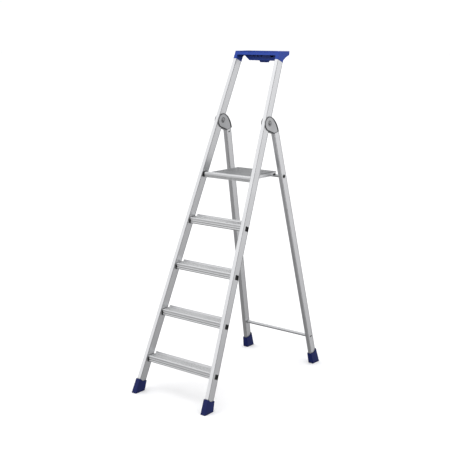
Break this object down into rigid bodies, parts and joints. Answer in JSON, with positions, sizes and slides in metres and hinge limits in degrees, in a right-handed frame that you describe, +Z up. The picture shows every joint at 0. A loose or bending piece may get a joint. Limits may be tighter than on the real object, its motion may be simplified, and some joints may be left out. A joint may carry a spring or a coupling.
{
  "type": "step ladder",
  "caption": "Free-standing folding step ladder with deep ribbed treads, a standing platform, a tall handrail frame and a tool tray; the rear frame folds forwards and tips the platform up.",
  "frame": {"origin": "centre of the open ladder's box, on the floor", "axes": "+Z up, +Y from the climber towards the rear legs, +X to the climber's right"},
  "size_m": [0.4954, 1.0129, 1.729],
  "materials": {
    "aluminium": "clear-anodised extrusion, satin, with fine lines along its length",
    "tread_aluminium": "ribbed extrusion, satin",
    "deck_aluminium": "ribbed plate, matt grey",
    "tray_blue": "moulded royal blue plastic, fine grain",
    "foot_blue": "moulded dark blue plastic",
    "hinge_grey": "moulded grey plastic, semi-gloss",
    "black_plastic": "moulded black plastic",
    "zinc_steel": "bright zinc plate"
  },
  "bodies": {
    "front_frame": {"stile_left": "aluminium", "stile_right": "aluminium", "tread_1": "tread_aluminium", "tread_2": "tread_aluminium", "tread_3": "tread_aluminium", "tread_4": "tread_aluminium", "tread_bracket_1_left": "black_plastic", "tread_bracket_1_right": "black_plastic", "tread_bracket_2_left": "black_plastic", "tread_bracket_2_right": "black_plastic", "tread_bracket_3_left": "black_plastic", "tread_bracket_3_right": "black_plastic", "tread_bracket_4_left": "black_plastic", "tread_bracket_4_right": "black_plastic", "front_foot_left": "foot_blue", "front_foot_right": "foot_blue", "tool_tray": "tray_blue", "tray_screw_left": "zinc_steel", "tray_screw_right": "zinc_steel", "hinge_pin_left": "zinc_steel", "hinge_pin_right": "zinc_steel", "hinge_bush_left": "zinc_steel", "hinge_bush_right": "zinc_steel", "platform_bearing_left": "black_plastic", "platform_bearing_right": "black_plastic", "platform_pin_left": "zinc_steel", "platform_pin_right": "zinc_steel"},
    "rear_frame": {"rear_leg_left": "aluminium", "rear_leg_right": "aluminium", "rear_foot_left": "foot_blue", "rear_foot_right": "foot_blue", "hinge_housing_left": "hinge_grey", "hinge_housing_right": "hinge_grey", "housing_lug_left": "black_plastic", "housing_lug_right": "black_plastic", "cross_tube_upper": "aluminium", "cross_tube_plug_left": "black_plastic", "cross_tube_plug_right": "black_plastic", "crossbar_lower": "aluminium", "crossbar_pin_left": "black_plastic", "crossbar_pin_right": "black_plastic"},
    "platform": {"platform_deck": "deck_aluminium", "platform_nosing": "tread_aluminium", "platform_hook_left": "black_plastic", "platform_hook_right": "black_plastic"}
  },
  "joints": [
    {"name": "rear_fold", "type": "hinge", "parent": "front_frame", "child": "rear_frame", "pos_m": [0, 0.11627, 1.3683], "axis": [-1, 0, 0], "range_deg": [0, 35.5]},
    {"name": "platform_tip", "type": "hinge", "parent": "front_frame", "child": "platform", "pos_m": [0, -0.01414, 1.09132], "axis": [1, 0, 0], "range_deg": [0, 67.1]}
  ],
  "couplings": [
    {"joint": "platform_tip", "follows": "rear_fold", "ratio": 1.89}
  ]
}
